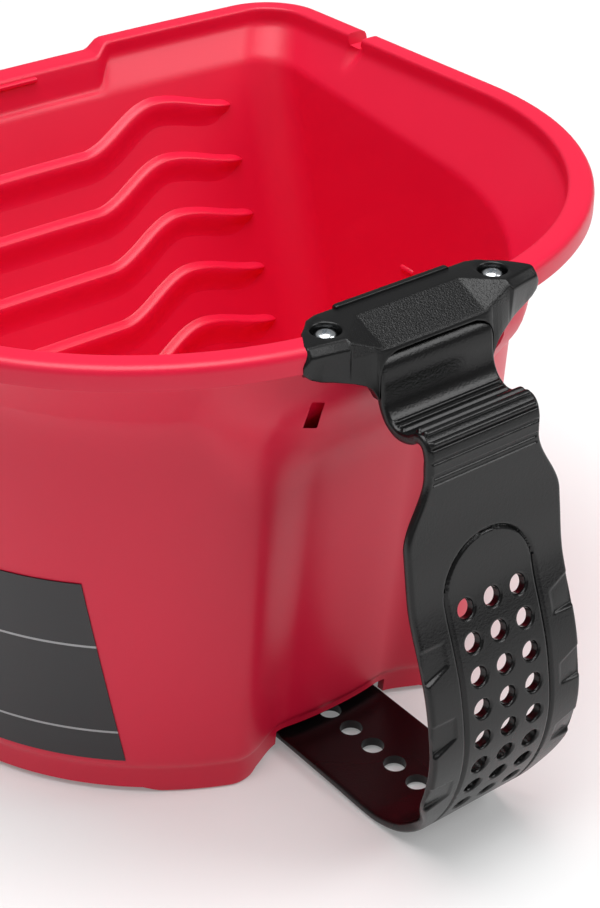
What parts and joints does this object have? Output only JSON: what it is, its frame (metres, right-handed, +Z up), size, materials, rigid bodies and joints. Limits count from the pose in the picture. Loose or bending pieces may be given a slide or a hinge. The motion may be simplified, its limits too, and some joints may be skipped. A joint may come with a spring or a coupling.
{
  "type": "hand-held paint pail",
  "caption": "Hand-held paint pail with wave-shaped roll-off ribs, a flared rim, a screwed-on rim bracket with a brush magnet and a perforated hand strap that swings open.",
  "frame": {"origin": "on the table under the middle of the overall length and width", "axes": "+Z up, +X out through the hand strap, ribs on the -X side, label on the -Y side"},
  "size_m": [0.234, 0.215, 0.1413],
  "materials": {
    "pail": "satin moulded",
    "bracket": "grained",
    "magnet": "plain",
    "screw": "zinc plated",
    "strap": "satin moulded",
    "label": "printed film"
  },
  "bodies": {
    "pail": {"pail_shell": "pail", "rim_bracket": "bracket", "magnet_cover": "bracket", "brush_magnet": "magnet", "screw_near": "screw", "screw_far": "screw", "strap_neck": "strap", "wall_label": "label"},
    "grip": {"strap_grip": "strap"},
    "tail": {"strap_tail": "strap"}
  },
  "joints": [
    {"name": "strap_swing", "type": "hinge", "parent": "pail", "child": "grip", "pos_m": [0.09573, 0, 0.11817], "axis": [0, -1, 0], "range_deg": [0, 35], "stiffness_Nm_per_rad": 0.05},
    {"name": "tail_trail", "type": "hinge", "parent": "grip", "child": "tail", "pos_m": [0.0897, 0, 0.00227], "axis": [0, -1, 0], "range_deg": [-30, 0]}
  ],
  "couplings": [
    {"joint": "tail_trail", "follows": "strap_swing", "ratio": -0.85}
  ]
}
